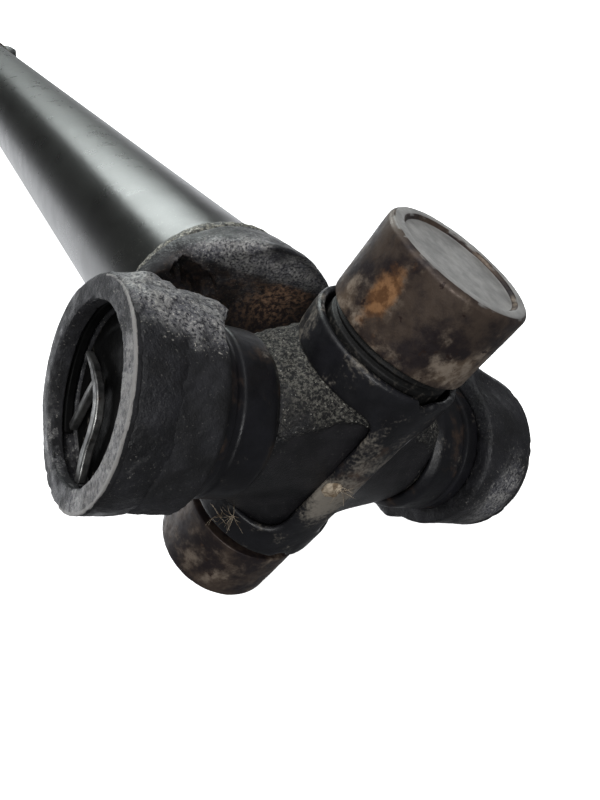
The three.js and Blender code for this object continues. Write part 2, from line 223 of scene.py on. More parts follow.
def isosurface(field, low, high, step):
    """Points and quads of the surface where a field is zero, by surface nets."""
    spans = [np.arange(a, b + step, step) for a, b in zip(low, high)]
    values = field(*np.meshgrid(*spans, indexing="ij"))
    inside = values < 0
    cells = tuple(n - 1 for n in values.shape)
    total = np.zeros((*cells, 3))
    count = np.zeros(cells)
    crossings = []
    for axis in range(3):
        first = np.take(values, range(cells[axis]), axis)
        second = np.take(values, range(1, cells[axis] + 1), axis)
        crossed = (first < 0) != (second < 0)
        part = np.where(crossed, first / np.where(crossed, first - second, 1), 0)
        crossings.append(crossed)
        others = [i for i in range(3) if i != axis]
        for shift in np.ndindex(2, 2):
            window = [slice(None)] * 3
            for other, by in zip(others, shift):
                window[other] = slice(by, by + cells[other])
            here = crossed[tuple(window)]
            total[..., axis] += part[tuple(window)] * here
            for other, by in zip(others, shift):
                total[..., other] += by * here
            count += here
    used = count > 0
    index = np.full(cells, -1)
    index[used] = np.arange(used.sum())
    corner = np.argwhere(used)
    points = np.array(low) + step * (corner + total[used] / count[used][:, None])
    quads = []
    for axis, crossed in enumerate(crossings):
        others = [i for i in range(3) if i != axis]
        at = np.argwhere(crossed)
        at = at[(at[:, others] > 0).all(1) & (at[:, others] < np.array(cells)[others]).all(1)]
        ring = []
        for by in ((-1, -1), (0, -1), (0, 0), (-1, 0)):
            cell = at.copy()
            cell[:, others] += by
            ring.append(index[tuple(cell.T)])
        quad = np.stack(ring, 1)
        flip = inside[tuple(at.T)] != (axis == 1)
        quad[~flip] = quad[~flip][:, ::-1]
        quads.append(quad)
    return points, np.concatenate(quads)


# ---- turned shapes ----
def soften(profile, radius, steps=4):
    """Rounds every corner of a closed profile that is off the axis."""
    points = np.array(profile, float)
    result = []
    for i, point in enumerate(points):
        back, ahead = points[i - 1] - point, points[(i + 1) % len(points)] - point
        lengths = np.linalg.norm(back), np.linalg.norm(ahead)
        if point[0] == 0 or min(lengths) == 0:
            result.append(point)
            continue
        reach = min(radius, 0.45 * min(lengths))
        start, end = point + back / lengths[0] * reach, point + ahead / lengths[1] * reach
        for t in np.linspace(0, 1, steps):
            result.append((1 - t) ** 2 * start + 2 * t * (1 - t) * point + t * t * end)
    return np.array(result)


def resample(profile, step):
    result = []
    for i, point in enumerate(profile):
        after = profile[(i + 1) % len(profile)]
        pieces = max(1, math.ceil(np.linalg.norm(after - point) / step))
        if point[0] == 0 and after[0] == 0:
            pieces = 1
        result += [point + (after - point) * t / pieces for t in range(pieces)]
    return np.array(result)


def turned(profile, edge=0.3, step=1.5, segments=96, shaped=None):
    """Points and quads of a profile of [radius, height] turned about Z. shaped(angle, radius) may change the
    radii."""
    outline = resample(soften(profile, edge), step)
    angle = np.arange(segments) * 2 * math.pi / segments
    radius = np.repeat(outline[:, :1], segments, 1)
    height = np.repeat(outline[:, 1:], segments, 1)
    turn = np.repeat(angle[None, :], len(outline), 0)
    if shaped:
        radius = shaped(turn, radius)
    points = np.stack([radius * np.cos(turn), radius * np.sin(turn), height], -1).reshape(-1, 3)
    ring = np.arange(len(outline))[:, None] * segments
    after = (np.arange(len(outline))[:, None] + 1) % len(outline) * segments
    column, beside = np.arange(segments), (np.arange(segments) + 1) % segments
    quads = np.stack([ring + column, ring + beside, after + beside, after + column], -1).reshape(-1, 4)
    return points, quads


def flat_plate(outline, low, high):
    """Points and faces of a flat outline, extruded from low to high."""
    points = [(x, y, h) for h in (low, high) for x, y in outline]
    n = len(outline)
    sides = [(i, (i + 1) % n, n + (i + 1) % n, n + i) for i in range(n)]
    return np.array(points, float), [tuple(reversed(range(n))), tuple(range(n, 2 * n)), *sides]


def arc(radius, from_deg, to_deg, steps):
    angles = np.radians(np.linspace(from_deg, to_deg, steps + 1))
    return [(radius * math.cos(a), radius * math.sin(a)) for a in angles]


# ---- pieces ----
def add_object(name, data):
    thing = bpy.data.objects.new(name, data)
    bpy.context.scene.collection.objects.link(thing)
    return thing


def point_normals(points, quads):
    across = points[quads[:, 2]] - points[quads[:, 0]]
    along = points[quads[:, 3]] - points[quads[:, 1]]
    face = np.cross(across, along)
    normals = np.zeros_like(points)
    for corner in range(4):
        np.add.at(normals, quads[:, corner], face)
    return normals / np.maximum(np.linalg.norm(normals, axis=1), 1e-12)[:, None]


def place(name, shape, matrix, material, body, node, relief=None, marks=None, smooth_deg=40):
    """Makes a Blender object of a shape, in place of a CAD node if one is named. relief(points) gives how far
    each point is pushed out, and marks(points, normals) the strengths of rust, dirt and wear there."""
    points, faces = shape
    if relief or marks:
        normals = point_normals(points, faces)
    if relief:
        points = points + normals * relief(points)[:, None]
    mesh = bpy.data.meshes.new(name)
    world = points @ np.array(matrix.to_3x3()).T + np.array(matrix.translation)
    mesh.from_pydata(world.tolist(), [], [tuple(face) for face in np.asarray(faces, object).tolist()])
    if marks:
        layer = mesh.color_attributes.new("marks", "FLOAT_COLOR", "POINT")
        strengths = np.ones((len(points), 4))
        for i, strength in enumerate(marks(points, normals)):
            strengths[:, i] = np.clip(strength, 0, 1)
        layer.data.foreach_set("color", strengths.ravel())
    tidy = bmesh.new()
    tidy.from_mesh(mesh)
    bmesh.ops.remove_doubles(tidy, verts=tidy.verts, dist=1e-7)
    bmesh.ops.recalc_face_normals(tidy, faces=tidy.faces)
    tidy.to_mesh(mesh)
    tidy.free()
    mesh.shade_smooth()
    mesh.set_sharp_from_angle(angle=math.radians(smooth_deg))
    mesh.materials.append(material)
    piece = add_object(name, mesh)
    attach(piece, body)
    if node:
        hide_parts(node)
    return piece


# ---- materials ----
def set_inputs(tree, node, inputs):
    """Gives some inputs of a node. Each is another node's output, a number or a colour."""
    for key, given in inputs.items():
        if hasattr(given, "node"):
            tree.links.new(given, node.inputs[key])
        else:
            node.inputs[key].default_value = given


def add_node(tree, kind, inputs, output=0, **settings):
    """Makes a shader node with some of its inputs given, and returns one of its outputs."""
    node = tree.nodes.new("ShaderNode" + kind)
    for name, setting in settings.items():
        setattr(node, name, setting)
    set_inputs(tree, node, inputs)
    return node.outputs[output]


def map_range(tree, value, low, high, to_low=0.0, to_high=1.0):
    """Spreads low to high smoothly over to_low to to_high."""
    inputs = dict(enumerate((value, low, high, to_low, to_high)))
    return add_node(tree, "MapRange", inputs, interpolation_type="SMOOTHSTEP")


def combine(tree, operation, a, b):
    return add_node(tree, "Math", {0: a, 1: b}, operation=operation)


class Look:
    """A procedural material on one Principled shader, with sizes in millimetres."""

    def __init__(self, name, metallic=0.0, specular=0.5):
        self.material = bpy.data.materials.new(name)
        self.material.use_nodes = True
        self.tree = self.material.node_tree
        self.shader = self.tree.nodes["Principled BSDF"]
        set_inputs(self.tree, self.shader, {"Metallic": metallic, "Specular IOR Level": specular})
        self.place = add_node(self.tree, "TexCoord", {}, "Object")
        marks = add_node(self.tree, "Attribute", {}, "Color", attribute_name="marks")
        self.rust, self.dirt, self.wear = add_node(self.tree, "SeparateColor", {"Color": marks}).node.outputs

    def noise(self, size, detail, rough=0.6, stretch=(1, 1, 1)):
        spot = add_node(self.tree, "Mapping", {"Vector": self.place, "Scale": stretch})
        inputs = {"Vector": spot, "Scale": 1 / (size * MM), "Detail": detail, "Roughness": rough}
        return add_node(self.tree, "TexNoise", inputs)

    def range(self, value, low, high, to_low=0.0, to_high=1.0):
        return map_range(self.tree, value, low, high, to_low, to_high)

    def math(self, operation, a, b):
        return combine(self.tree, operation, a, b)

    def times(self, a, b):
        return self.math("MULTIPLY", a, b)

    def patches(self, size, detail, low, high, to_low=0.0, to_high=1.0, rough=0.6):
        """Noise of which only the part from low to high is spread over the whole range."""
        return self.range(self.noise(size, detail, rough), low, high, to_low, to_high)

    def torn(self, mark, noise, share, low, high):
        """Where a mark is strong, with an edge that is torn by noise."""
        return self.range(self.math("ADD", mark, self.times(noise, share)), low, high)

    def mix(self, factor, a, b):
        a, b = ((*given, 1.0) if isinstance(given, tuple) else given for given in (a, b))
        return add_node(self.tree, "Mix", {0: factor, 6: a, 7: b}, 2, data_type="RGBA")

    def bump(self, height, depth, before=None):
        inputs = {"Height": height, "Distance": depth * MM, "Strength": 1.0}
        if before:
            inputs["Normal"] = before
        return add_node(self.tree, "Bump", inputs)

    def finish(self, color, roughness, normal):
        inputs = {"Base Color": color, "Roughness": roughness, "Normal": normal}
        set_inputs(self.tree, self.shader, inputs)
        return self.material


def black_paint():
    """Satin black paint over the tube: fine dust, soft scuffs and a slight orange-peel skin."""
    look = Look("black_paint", specular=0.6)
    dust = look.patches(0.5, 3, 0.62, 0.76)
    haze = look.patches(22, 4, 0.35, 0.7)
    color = look.mix(haze, (0.008, 0.008, 0.007), (0.018, 0.019, 0.017))
    dusty = look.times(dust, look.range(look.dirt, 0, 1, 0.15, 0.9))
    color = look.mix(dusty, color, (0.32, 0.31, 0.27))
    color = look.mix(look.range(look.rust, 0.3, 1), color, (0.05, 0.028, 0.014))
    roughness = look.patches(9, 3, 0.3, 0.7, 0.27, 0.31)
    normal = look.bump(look.noise(1.4, 3), 0.008)
    normal = look.bump(look.noise(0.35, 2), 0.004, normal)
    return look.finish(color, roughness, normal)


def forged_steel():
    """Black forging: pebbled skin, rust that shows through it, with its bright end as painted light in the
    shaded crotch, grey grime and bare chipped edges. Points without any rust are matt, like soot."""
    look = Look("forged_steel", specular=0.5)
    pebble = look.noise(1.1, 5, 0.65)
    patch = look.noise(7, 5)
    color = look.mix(look.range(patch, 0.35, 0.7), (0.007, 0.007, 0.008), (0.022, 0.022, 0.026))
    # the bright end of this rust colour shows only where rust is strongest, in the crotch: painted light on a
    # place that lies in shade
    rust_and_light = look.mix(look.patches(1.1, 4, 0.42, 0.64, rough=0.7), (0.04, 0.025, 0.024), (0.52, 0.32, 0.2))
    color = look.mix(look.torn(look.rust, patch, 0.35, 0.5, 1.1), color, rust_and_light)
    grime = look.mix(look.patches(3.5, 3, 0.35, 0.65), (0.13, 0.13, 0.145), (0.29, 0.285, 0.28))
    grains = look.noise(0.55, 3, 0.7)
    grime = look.mix(look.range(grains, 0.5, 0.4), grime, (0.025, 0.025, 0.03))
    grime = look.mix(look.range(grains, 0.56, 0.68), grime, (0.55, 0.54, 0.5))
    grimy = look.torn(look.dirt, look.noise(2.4, 5), 0.6, 0.65, 1.15)
    color = look.mix(grimy, color, grime)
    speck = look.times(look.patches(0.42, 2, 0.64, 0.7), look.range(look.dirt, 0.1, 0.6, 0.08, 0.95))
    color = look.mix(speck, color, (0.42, 0.4, 0.36))
    chipped = look.torn(look.wear, look.noise(1.0, 4), 0.8, 0.75, 1.1)
    color = look.mix(chipped, color, (0.3, 0.29, 0.28))
    roughness = look.patches(3, 5, 0.3, 0.7, 0.3, 0.6)
    roughness = look.math("MAXIMUM", roughness, look.range(look.rust, 0, 0.1, 0.8, 0))
    normal = look.bump(pebble, 0.34)
    normal = look.bump(look.noise(0.4, 3), 0.05, normal)
    return look.finish(color, roughness, normal)


def gritty_crust():
    """Cross: grit bedded in grease on the upper faces, smooth black below."""
    look = Look("gritty_crust", specular=0.55)
    grit = look.noise(0.6, 4, 0.8)
    crusty = look.range(look.dirt, 0.2, 0.7)
    color = look.mix(look.patches(4, 4, 0.35, 0.65), (0.006, 0.006, 0.007), (0.016, 0.015, 0.017))
    crust = look.mix(look.range(grit, 0.44, 0.62), (0.005, 0.005, 0.006), (0.22, 0.21, 0.18))
    color = look.mix(crusty, color, crust)
    sparkle = look.times(look.patches(0.42, 1, 0.7, 0.74), look.range(look.dirt, 0, 0.6, 0.1, 1))
    color = look.mix(sparkle, color, (0.6, 0.58, 0.52))
    roughness = look.range(crusty, 0, 1, 0.3, 0.75)
    depth = look.times(grit, look.range(look.dirt, 0.1, 0.7, 0.15, 1))
    normal = look.bump(depth, 0.9)
    normal = look.bump(look.noise(0.3, 2), 0.03, normal)
    return look.finish(color, roughness, normal)


def rusty_steel():
    """Ground bearing cups: purple-black steel under brown, tan and orange rust, with a silvery end face."""
    look = Look("rusty_steel", metallic=0.35, specular=0.5)
    cloud = look.noise(6, 6, 0.62)
    streak = look.noise(3, 5, 0.7)
    base = look.mix(look.range(cloud, 0.38, 0.62), (0.022, 0.015, 0.016), (0.085, 0.06, 0.045))
    tan = look.mix(look.range(streak, 0.4, 0.62), (0.15, 0.105, 0.07), (0.37, 0.3, 0.235))
    tanned = look.torn(look.dirt, streak, 0.9, 0.72, 1.25)
    color = look.mix(tanned, base, tan)
    orange = look.mix(look.patches(1.5, 4, 0.4, 0.6), (0.17, 0.078, 0.032), (0.37, 0.19, 0.085))
    rusted = look.torn(look.rust, look.noise(2.2, 6, 0.7), 0.9, 0.85, 1.3)
    color = look.mix(rusted, color, orange)
    spots = look.times(look.patches(1.9, 3, 0.66, 0.7), look.range(look.wear, 0.2, 0.8, 1, 0.1))
    color = look.mix(spots, color, (0.03, 0.016, 0.012))
    silver = look.mix(look.patches(4, 5, 0.3, 0.7), (0.3, 0.295, 0.285), (0.5, 0.49, 0.47))
    color = look.mix(look.range(look.wear, 0.35, 0.75), color, silver)
    roughness = look.patches(1.2, 4, 0.3, 0.7, 0.36, 0.55)
    normal = look.bump(streak, 0.07)
    normal = look.bump(look.noise(0.35, 3), 0.02, normal)
    return look.finish(color, roughness, normal)


def satin_black(name, tint, edge_highlight, specular=0.38):
    """Moulded strap and stamped guards, and the steel painted dark as shade in the bores: satin black with
    brown smears and dust, and a pale colour on the wear mark, which only the strap's band has, as a painted
    highlight along one edge.
    """
    look = Look(name, specular=specular)
    color = look.mix(look.patches(6, 4, 0.35, 0.7), tuple(0.5 * c for c in tint), tint)
    brown = look.torn(look.rust, look.noise(2.5, 5), 0.8, 0.8, 1.25)
    color = look.mix(brown, color, (0.1, 0.062, 0.04))
    dusty = look.torn(look.dirt, look.noise(0.7, 4), 0.9, 0.85, 1.3)
    color = look.mix(dusty, color, (0.25, 0.225, 0.19))
    # pale colour on the wear mark: on the strap it is a painted highlight along the band's far edge; the
    # others have no wear mark
    color = look.mix(look.range(look.wear, 0.3, 0.9), color, edge_highlight)
    roughness = look.patches(2.5, 5, 0.3, 0.7, 0.3, 0.48)
    normal = look.bump(look.noise(1.8, 4), 0.08)
    normal = look.bump(look.noise(0.4, 3), 0.025, normal)
    return look.finish(color, roughness, normal)


def steel(name, dark, light, rough, metallic=0.9):
    """Bare steel with machining haze, stains and light rust."""
    look = Look(name, metallic=metallic)
    color = look.mix(look.patches(3.5, 5, 0.35, 0.65), dark, light)
    color = look.mix(look.patches(1.3, 5, 0.62, 0.72), color, (0.1, 0.055, 0.03))
    roughness = look.patches(1.1, 4, 0.3, 0.7, rough - 0.08, rough + 0.12)
    normal = look.bump(look.noise(0.8, 4), 0.03)
    return look.finish(color, roughness, normal)


def rubber():
    look = Look("seal_rubber", specular=0.3)
    dusty = look.patches(1.4, 5, 0.52, 0.7, rough=0.7)
    color = look.mix(dusty, (0.006, 0.006, 0.006), (0.06, 0.054, 0.046))
    return look.finish(color, look.range(dusty, 0, 1, 0.55, 0.85), look.bump(look.noise(0.7, 4), 0.06))


def felt():
    look = Look("felt", specular=0.1)
    fibre = look.noise(0.5, 6, 0.75, (1, 1, 3))
    color = look.mix(look.range(fibre, 0.35, 0.65), (0.06, 0.048, 0.036), (0.22, 0.185, 0.145))
    return look.finish(color, 0.95, look.bump(fibre, 0.25))


def weld():
    look = Look("weld_bead", specular=0.6)
    spatter = look.noise(0.8, 4, 0.7)
    color = look.mix(look.range(spatter, 0.42, 0.62), (0.02, 0.02, 0.018), (0.3, 0.29, 0.24))
    spark = look.patches(0.45, 1, 0.62, 0.68)
    color = look.mix(spark, color, (0.65, 0.64, 0.55))
    return look.finish(color, look.range(spatter, 0.3, 0.7, 0.3, 0.65), look.bump(spatter, 0.35))


def lint():
    look = Look("lint", specular=0.2)
    color = look.mix(look.patches(1.5, 3, 0.4, 0.6), (0.2, 0.15, 0.1), (0.5, 0.42, 0.32))
    return look.finish(color, 0.85, look.bump(look.noise(0.4, 3), 0.05))


BLACK_PAINT = black_paint()
FORGED = forged_steel()
GRITTY = gritty_crust()
RUSTY = rusty_steel()
# the strap's pale (0.42) colour is a painted highlight on its band's edge
STRAP = satin_black("black_strap", (0.012, 0.012, 0.015), (0.42, 0.42, 0.42))
GUARD = satin_black("black_guard", (0.01, 0.01, 0.013), (0.16, 0.16, 0.17))
# nearly black steel that hardly reflects, for the ear cups and snap-ring hoops inside the bores: a shaded
# copy of steel, painted shade for the shade in the bores
SHADED_STEEL = satin_black("shaded_steel", (0.006, 0.006, 0.006), (0.12, 0.12, 0.12), 0.04)
SPRING = steel("spring_steel", (0.1, 0.1, 0.1), (0.3, 0.3, 0.29), 0.35)
BRIGHT = steel("bright_steel", (0.2, 0.2, 0.2), (0.42, 0.42, 0.41), 0.3)
BRASS = steel("brass", (0.22, 0.16, 0.06), (0.45, 0.34, 0.14), 0.35)
RUBBER = rubber()
FELT = felt()
WELD = weld()
LINT = lint()


# ---- bearings ----
def cup_end_marks(points, normals):
    """How far a point is on the end face, and how bare it is. The worn lip is bare in part."""
    height = points[:, 2]
    face = ramp(normals[:, 2], 0.75, 0.95) * ramp(height, CUP_END - 1.2, CUP_END - 0.95)
    lip = ramp(height, CUP_END - 0.9, CUP_END - 0.2) * ramp(grain(points, 2.5, 9), -0.1, 0.5) * 0.6
    return face, np.maximum(face, lip)


def upper_cup_marks(points, normals):
    """Orange and tan rust in blotches round a purple-black cup."""
    face, bare = cup_end_marks(points, normals)
    orange = near(points, (3.2, -13, 33.6), (5, 4, 7)) + 0.8 * near(points, (-6, 12, 33), (6, 4, 5))
    tan = near(points, (13.4, 0, 29.5), (5, 6, 5)) + 1.1 * near(points, (-1, -13.5, 28.5), (5, 4, 8))
    purple = near(points, (9.6, -9.4, 34), (4.5, 4.5, 7))
    streaks = grain(points * (1, 1, 0.3), 2.6, 12)
    rust = 0.12 + 0.3 * grain(points, 9, 5, 2) + 0.2 * streaks + 0.75 * orange
    dust = 0.2 + 0.4 * grain(points, 7, 8, 2) + 0.4 * streaks + 0.6 * tan
    return rust * (1 - face) * (1 - 0.8 * purple), dust * (1 - face) * (1 - 0.8 * purple), bare


def lower_cup_marks(points, normals):
    """Even tan dust over dark steel."""
    face, bare = cup_end_marks(points, normals)
    rust = 0.1 + 0.3 * grain(points, 8, 6, 2) + 0.15 * grain(points * (1, 1, 0.3), 2.6, 14)
    return rust * (1 - face), (0.25 + 0.3 * grain(points, 6, 7, 2)) * (1 - face), bare


def shaded_cup_marks(points, normals):
    return 0, 0.2 + 0.4 * grain(points, 4, 10, 2), 0


def cup_relief(points):
    return 0.05 * grain(points, 2.5, 3) + 0.03 * noise(points, 0.9, 4)


def bearing_cup(name, matrix, body, node, material, marks, dish_depth=0.8):
    dish = CUP_END - dish_depth
    floor = CUP_END - CUP_FLOOR
    profile = [
        (0, floor), (CUP_BORE, floor), (CUP_BORE, CUP_MOUTH), (CUP_RADIUS, CUP_MOUTH), (CUP_RADIUS, dish),
        (CUP_RADIUS - CUP_CHAMFER, CUP_END), (CUP_RIM, CUP_END), (CUP_RIM - 0.6, dish), (0, dish),
    ]
    shape = turned(profile, 0.35, 0.8, 120)
    place(name, shape, matrix, material, body, node, cup_relief, marks)


def lip_seal(name, matrix, body, node):
    top = CUP_MOUTH - 0.3
    inner = TRUNNION_RADIUS + 0.3
    profile = [
        (inner, SEAL_START), (BARREL_RADIUS, SEAL_START), (BARREL_RADIUS, top - 2.2),
        (BARREL_RADIUS - 0.7, top - 1.7), (BARREL_RADIUS, top - 1.1), (BARREL_RADIUS - 0.8, top),
        (inner, top),
    ]
    place(name, turned(profile, 0.25, 1.5, 72), matrix, RUBBER, body, node)


def guard_marks(points, normals):
    dust = 0.2 + 0.35 * grain(points, 5, 21, 2)
    return 0.3 + 0.3 * grain(points, 6, 23, 2), dust, 0


def guard_relief(points):
    return 0.14 * noise(points, 6, 25) + 0.07 * grain(points, 2, 26)


def ear_guard(name, matrix, body, node):
    top = EAR_INNER - 0.3
    neck, inner = BARREL_RADIUS + 0.3, CUP_RADIUS + 0.3
    dent = GUARD_RADIUS - 0.25
    profile = [
        (neck, SEAL_START), (GUARD_RADIUS - 1.2, SEAL_START), (GUARD_RADIUS, SEAL_START + 1.6),
        (GUARD_RADIUS, top - 4.5), (dent, top - 4.1), (dent, top - 3.2), (GUARD_RADIUS, top - 2.8),
        (GUARD_RADIUS, top), (inner, top), (inner, SEAL_START + 1.9), (neck, SEAL_START + 1.2),
    ]
    place(name, turned(profile, 0.6, 0.9, 120), matrix, GUARD, body, node, guard_relief, guard_marks)


def snap_ring(name, matrix, body, node):
    """Ring in the ear's groove. One end has sprung out across the cup, the other is bent back behind it."""
    hoop = [*arc(RING_GROOVE_RADIUS - 0.4, -72, 236, 60), *arc(EAR_BORE + 0.12, 236, -72, 60)]
    long_tail = [
        (2.9, -13.6), (4.6, -13.0), (3.6, -10.6), (2.9, -8.0), (2.9, -5.0), (2.4, -2.8), (1.0, -0.4),
        (-1.4, 1.2), (-5.4, 2.4), (-9.8, 2.6), (-9.6, 2.0), (-5.6, 1.2), (-2.4, 0.0), (-0.2, -1.8),
        (0.8, -4.0), (1.2, -6.4), (1.2, -9.4),
    ]
    short_tail = [
        (-8.0, -10.0), (-6.7, -10.6), (-5.9, -7.6), (-4.9, -4.0), (-3.9, -0.9), (-3.0, 0.6), (-4.4, 1.2),
        (-5.8, -2.4), (-6.9, -6.4),
    ]
    tail, hook = ("_tail", long_tail, TAIL_RISE, SPRING), ("_hook", short_tail, -TAIL_RISE, SPRING)
    # the hoop, inside the bore, takes the painted-shade steel; the tails outside it take spring steel
    for suffix, outline, rise, material in (("", hoop, 0, SHADED_STEEL), tail, hook):
        low = RING_START + rise
        piece = place(name + suffix, flat_plate(outline, low, low + RING_THICKNESS), matrix, material, body,
                      node, smooth_deg=30)
        bevel = piece.modifiers.new("edges", "BEVEL")
        bevel.width = 0.28 * MM
        bevel.segments = 3
        bevel.limit_method = "ANGLE"


# ---- cross and strap ----
def crossing_cylinders(x, y, z, radius, end):
    along_y = cylinder(np.hypot(x, z), y, radius, -end, end, 0.8)
    along_z = cylinder(np.hypot(x, y), z, radius, -end, end, 0.8)
    return along_y, along_z


def cross_field(x, y, z):
    """Thick barrels with a web in their corners, and a thinner trunnion in each arm."""
    corner = (np.abs(y) + np.abs(z) - 29.4) / math.sqrt(2)
    web = blend_common(np.maximum(np.abs(y) - 18, np.abs(z) - 15.4), corner, 2)
    web = blend_common(web, np.abs(x) - 9.6, 4)
    barrels = blend_union(*crossing_cylinders(x, y, z, BARREL_RADIUS, BARREL_END), 3)
    trunnions = np.minimum(*crossing_cylinders(x, y, z, TRUNNION_RADIUS, TRUNNION_END))
    return np.minimum(blend_union(barrels, web, 5), trunnions)


def crust_strength(points):
    """Grit lies on the cross's upper faces, down to a torn edge."""
    x, y, z = points.T
    edge = np.interp(np.abs(y), (8, 17), (13, 7.2)) - 5 * ramp(-x, 0, 8)
    height = z - edge + 1.6 * grain(points, 4.5, 41) + 0.6 * noise(points, 1.1, 44)
    core = ramp(BARREL_END + 1 - np.abs(points).max(1), 0, 1)
    return ramp(height, -0.5, 0.7) * core


def cross_relief(points):
    crust = crust_strength(points)
    rough = 0.3 + 0.3 * grain(points, 1.6, 42) + 0.16 * noise(points, 0.7, 45)
    core = ramp(BARREL_END - 0.3 - np.abs(points).max(1), 0, 0.6)
    return core * (crust * rough + (1 - crust) * 0.12 * noise(points, 5, 43))


def cross_marks(points, normals):
    fade = 0.4 + 0.5 * ramp(points[:, 2], 10, 16.5) + 0.3 * grain(points, 2.5, 47)
    return 0, crust_strength(points) * fade, 0


def strap_field(x, y, z):
    """A collar round each loose arm and the band that joins them, all in one thin round wall."""
    wall = np.abs(np.hypot(x, y) - (STRAP_OUTER + STRAP_INNER) / 2) - (STRAP_OUTER - STRAP_INNER) / 2
    band = np.where(x > 0, np.abs(y) - STRAP_BAND_HALF, 30)
    outline = np.maximum(blend_union(STRAP_LOW - np.abs(z), band, 5), np.abs(z) - STRAP_HIGH)
    from_rim = np.abs(z) - STRAP_HIGH + 0.2
    notch = np.sqrt(((x - STRAP_OUTER) / 2.0) ** 2 + (y / 1.6) ** 2 + (from_rim / 1.2) ** 2) - 1
    return blend_cut(blend_common(outline, wall, 0.9), notch, 0.5)


def strap_relief(points):
    return 0.12 * noise(points, 5, 51) + 0.05 * grain(points, 1.5, 52)


def strap_marks(points, normals):
    x, y, z = points.T
    band = near(points, (14, 0, 2), (6, 8, 19))
    dust = 0.25 + 0.35 * grain(points, 4, 54, 2) + 0.3 * near(points, (-8, -11, 19), 9)
    # rim: the band's far edge, given the pale wear colour as a painted highlight
    rim = ramp(y, STRAP_BAND_HALF - 0.9, STRAP_BAND_HALF - 0.4) * ramp(-np.abs(z), -16, -13)
    tan = near(points, (14, -3.4, -1), (3, 2.2, 2.6)) + 0.5 * near(points, (13.5, -1, -6), (4, 5, 9))
    rust = 0.25 * grain(points, 6, 53, 2) + 0.6 * band
    return rust, dust + 0.9 * tan + 0.4 * band, rim * ramp(x, 4, 6)


# ---- yokes ----
def neck_half(x):
    return np.interp(x, (-HUB_BACK, -4), (4.8, 17.0))


def yoke_field(x, y, z):
    about_x = np.hypot(y, z)
    about_y = np.hypot(x, z)
    behind = np.maximum(-45 - x, x)
    hub = cylinder(about_x, x, HUB_RADIUS, -HUB_BACK, -HUB_FRONT, 3)
    shoulder_radius = np.interp(x, (-45, -40, -30, -10, 0), (24.2, 25.8, 30.8, 40, 40))
    shoulder_half = np.interp(y, (0, 14), (17.4, 19.2))
    shoulder = blend_common(0.85 * (about_x - shoulder_radius), np.abs(z) - shoulder_half, 6)
    neck_radius = np.interp(x, (-45, -42, -37.5, -31, -22, -12), (24.4, 28, 34.5, 39.5, 43, 44))
    neck = blend_common(0.65 * (about_x - neck_radius), np.abs(z) - neck_half(x), 6)
    boss = cylinder(about_y, y, EAR_RADIUS, RIM_DEPTH - EAR_FACE, EAR_FACE - RIM_DEPTH, 0.7)
    arms = blend_union(np.maximum(shoulder, behind), np.maximum(neck, behind), 5)
    body = blend_union(blend_union(hub, arms, 4), boss, 5)

    corner = np.where(y < 0, NEAR_THROAT_CORNER, THROAT_CORNER)
    corner_y = np.maximum(np.abs(y) - EAR_INNER + corner, 0)
    corner_x = np.maximum(corner - THROAT_FLOOR - x, 0)
    throat = np.hypot(corner_x, corner_y) - corner
    recess = 1.1 * ramp(np.abs(z), 18.2, 20.5) * ramp(23.8 - 5 * ramp(-y, 2, 12) - about_x, 0, 0.5)
    gap = blend_common(throat, about_y - CROTCH_RADIUS - recess, 0.8)
    hollow = blend_common(np.hypot(x + 22, z) - 22, np.abs(y) - 24, 8)
    body = blend_cut(blend_cut(body, gap, np.interp(y, (-20, -4), (11, 1.0))), hollow, 3)

    bore = about_y - EAR_BORE
    middle = RING_START + RING_THICKNESS / 2
    groove = np.maximum(about_y - RING_GROOVE_RADIUS, np.abs(np.abs(y) - middle) - RING_THICKNESS / 2 - 0.2)
    return blend_cut(body, np.minimum(bore, groove), 0.5)


def tube_yoke_field(x, y, z):
    about_x = np.hypot(y, z)
    lip = cylinder(about_x, x, TUBE_RADIUS - 0.3, 0.3 - TUBE_START, 1 - HUB_BACK, 0.3)
    spigot = cylinder(about_x, x, TUBE_RADIUS - TUBE_WALL - 0.3, -62, 1 - HUB_BACK, 0.3)
    hollow = cylinder(about_x, x, 14, -70, -52, 0.3)
    return np.minimum(yoke_field(x, y, z), blend_cut(np.minimum(lip, spigot), hollow, 0.3))


def machined(points):
    """1 on the ears' bores and faces, 0 on the forged skin."""
    x, y, z = points.T
    bore = ramp(-np.hypot(x, z), -EAR_BORE - 0.8, -EAR_BORE - 0.2) * ramp(np.abs(y), EAR_INNER - 1, EAR_INNER)
    face = ramp(np.abs(y), EAR_FACE - 0.6, EAR_FACE - 0.2)
    return np.maximum(bore, face)


def grime_place(points):
    """Where mud and grime have built up on the top of the near ear. Their pale grey is partly real grime and
    partly painted light, as the top of the ear faces the light.
    """
    return near(points, (1, -37, 18), (15, 13, 7))


def pit_place(points):
    """Hollow between the near ear and the crotch, which lies in shade. The relief sinks it, and its rust and
    dust are cleared so that it shows the bare black base: painted shade.
    """
    spread = points + np.stack([grain(points, 2.6, seed) for seed in (66, 70, 74)], 1) * 1.5
    spread[:, 2] += 0.33 * (points[:, 1] + 13.3)
    return ramp(near(spread, (-39, -13.3, 10.2), (9, 8.5, 4.2)), 0.3, 0.38)


def yoke_relief(points):
    skin = 0.18 * noise(points, 7, 61) + 0.17 * grain(points, 2.4, 62)
    return skin * (1 - 0.85 * machined(points))


def near_yoke_relief(points):
    grime = grime_place(points) * (1 - machined(points))
    lumps = 0.5 + 0.85 * grain(points, 3.6, 64) + 0.45 * noise(points, 1.3, 65)
    return yoke_relief(points) + grime * lumps - 4.5 * pit_place(points)


